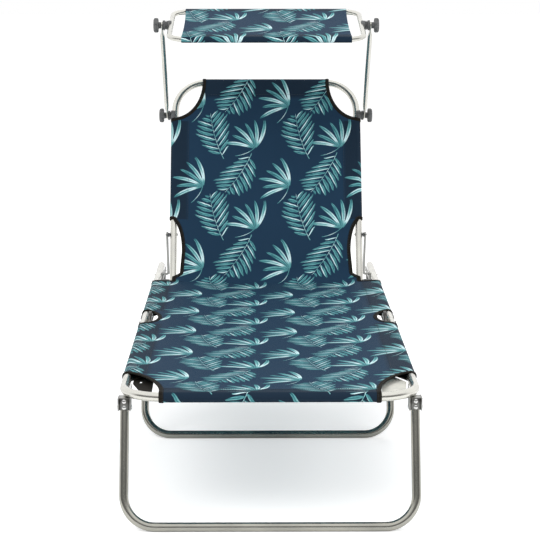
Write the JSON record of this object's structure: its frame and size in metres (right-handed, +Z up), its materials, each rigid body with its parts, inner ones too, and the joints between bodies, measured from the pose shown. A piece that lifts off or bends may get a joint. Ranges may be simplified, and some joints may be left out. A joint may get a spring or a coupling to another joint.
{
  "type": "sun lounger with canopy",
  "caption": "Folding sun lounger: tube frame on U-shaped legs, printed cloth sling, reclining backrest on struts and racks, and a small tilting canopy on clamped arms.",
  "frame": {"origin": "on the floor, at the middle of the lounger's length and width", "axes": "+Y from the foot end to the head end, +X to the right seen from the foot end, +Z up"},
  "size_m": [0.5886, 1.5665, 0.9435],
  "materials": {
    "frame_tube": "bright drawn tube",
    "sling_cloth": "coated weave with a printed leaf pattern",
    "steel_plate": "zinc plated",
    "rivets": "polished",
    "grey_plastic": "moulded"
  },
  "bodies": {
    "seat": {"seat_tube_left": "frame_tube", "seat_tube_right": "frame_tube", "seat_sling": "sling_cloth", "seat_end_cap_left": "grey_plastic", "seat_end_cap_right": "grey_plastic", "seat_hinge_plate_left": "steel_plate", "seat_hinge_plate_right": "steel_plate", "fold_rivet_left": "rivets", "fold_rivet_right": "rivets", "rack_left": "steel_plate", "rack_right": "steel_plate", "rack_front_rivet_left": "rivets", "rack_front_rivet_right": "rivets", "rack_rear_rivet_left": "rivets", "rack_rear_rivet_right": "rivets", "recline_bolt_left": "rivets", "recline_bolt_right": "rivets", "recline_spacer_left": "grey_plastic", "recline_spacer_right": "grey_plastic", "middle_leg_bracket_left": "steel_plate", "middle_leg_bracket_right": "steel_plate", "rear_leg_bracket_left": "steel_plate", "rear_leg_bracket_right": "steel_plate", "middle_leg_pin_left": "rivets", "middle_leg_pin_right": "rivets", "rear_leg_pin_left": "rivets", "rear_leg_pin_right": "rivets"},
    "foot": {"foot_frame": "frame_tube", "foot_sling": "sling_cloth", "foot_hinge_plate_left": "steel_plate", "foot_hinge_plate_right": "steel_plate", "front_leg_bracket_left": "steel_plate", "front_leg_bracket_right": "steel_plate", "front_leg_pin_left": "rivets", "front_leg_pin_right": "rivets"},
    "front_leg": {"front_leg": "frame_tube"},
    "middle_leg": {"middle_leg": "frame_tube"},
    "rear_leg": {"rear_leg": "frame_tube"},
    "backrest": {"backrest_frame": "frame_tube", "back_sling": "sling_cloth", "strut_bolt_left": "rivets", "strut_bolt_right": "rivets", "arm_clamp_left": "grey_plastic", "arm_clamp_right": "grey_plastic"},
    "struts": {"strut_left": "steel_plate", "strut_right": "steel_plate"},
    "canopy_arms": {"canopy_arm_left": "frame_tube", "canopy_arm_right": "frame_tube"},
    "canopy": {"canopy_frame": "frame_tube", "canopy_sheet": "sling_cloth", "canopy_block_left": "grey_plastic", "canopy_block_right": "grey_plastic"},
    "lower_knob_left": {"lower_knob_left": "grey_plastic"},
    "lower_knob_right": {"lower_knob_right": "grey_plastic"},
    "upper_knob_left": {"upper_knob_left": "grey_plastic"},
    "upper_knob_right": {"upper_knob_right": "grey_plastic"}
  },
  "joints": [
    {"name": "foot_fold", "type": "hinge", "parent": "seat", "child": "foot", "pos_m": [0, 0.00147, 0.267], "axis": [-1, 0, 0], "range_deg": [0, 100]},
    {"name": "front_leg_fold", "type": "hinge", "parent": "foot", "child": "front_leg", "pos_m": [0, -0.69753, 0.224], "axis": [1, 0, 0], "range_deg": [0, 108]},
    {"name": "middle_leg_fold", "type": "hinge", "parent": "seat", "child": "middle_leg", "pos_m": [0, 0.01547, 0.224], "axis": [1, 0, 0], "range_deg": [0, 113]},
    {"name": "rear_leg_fold", "type": "hinge", "parent": "seat", "child": "rear_leg", "pos_m": [0, 0.69747, 0.224], "axis": [-1, 0, 0], "range_deg": [0, 104]},
    {"name": "backrest_recline", "type": "hinge", "parent": "seat", "child": "backrest", "pos_m": [0, 0.51247, 0.254], "axis": [1, 0, 0], "range_deg": [-62, 0]},
    {"name": "strut_swing", "type": "hinge", "parent": "backrest", "child": "struts", "pos_m": [0, 0.57256, 0.36702], "axis": [1, 0, 0], "range_deg": [0, 124]},
    {"name": "arm_swing", "type": "hinge", "parent": "backrest", "child": "canopy_arms", "pos_m": [0, 0.72937, 0.66192], "axis": [1, 0, 0], "range_deg": [-70, 34]},
    {"name": "canopy_tilt", "type": "hinge", "parent": "canopy_arms", "child": "canopy", "pos_m": [0, 0.48861, 0.90692], "axis": [1, 0, 0], "range_deg": [-90, 90]},
    {"name": "lower_knob_turn_left", "type": "hinge", "parent": "backrest", "child": "lower_knob_left", "pos_m": [-0.2745, 0.72937, 0.66192], "axis": [-1, 0, 0], "range_deg": [0, 360]},
    {"name": "lower_knob_turn_right", "type": "hinge", "parent": "backrest", "child": "lower_knob_right", "pos_m": [0.2745, 0.72937, 0.66192], "axis": [1, 0, 0], "range_deg": [0, 360]},
    {"name": "upper_knob_turn_left", "type": "hinge", "parent": "canopy_arms", "child": "upper_knob_left", "pos_m": [-0.2745, 0.48861, 0.90692], "axis": [-1, 0, 0], "range_deg": [0, 360]},
    {"name": "upper_knob_turn_right", "type": "hinge", "parent": "canopy_arms", "child": "upper_knob_right", "pos_m": [0.2745, 0.48861, 0.90692], "axis": [1, 0, 0], "range_deg": [0, 360]}
  ],
  "couplings": [
    {"joint": "strut_swing", "follows": "backrest_recline", "ratio": -2}
  ]
}
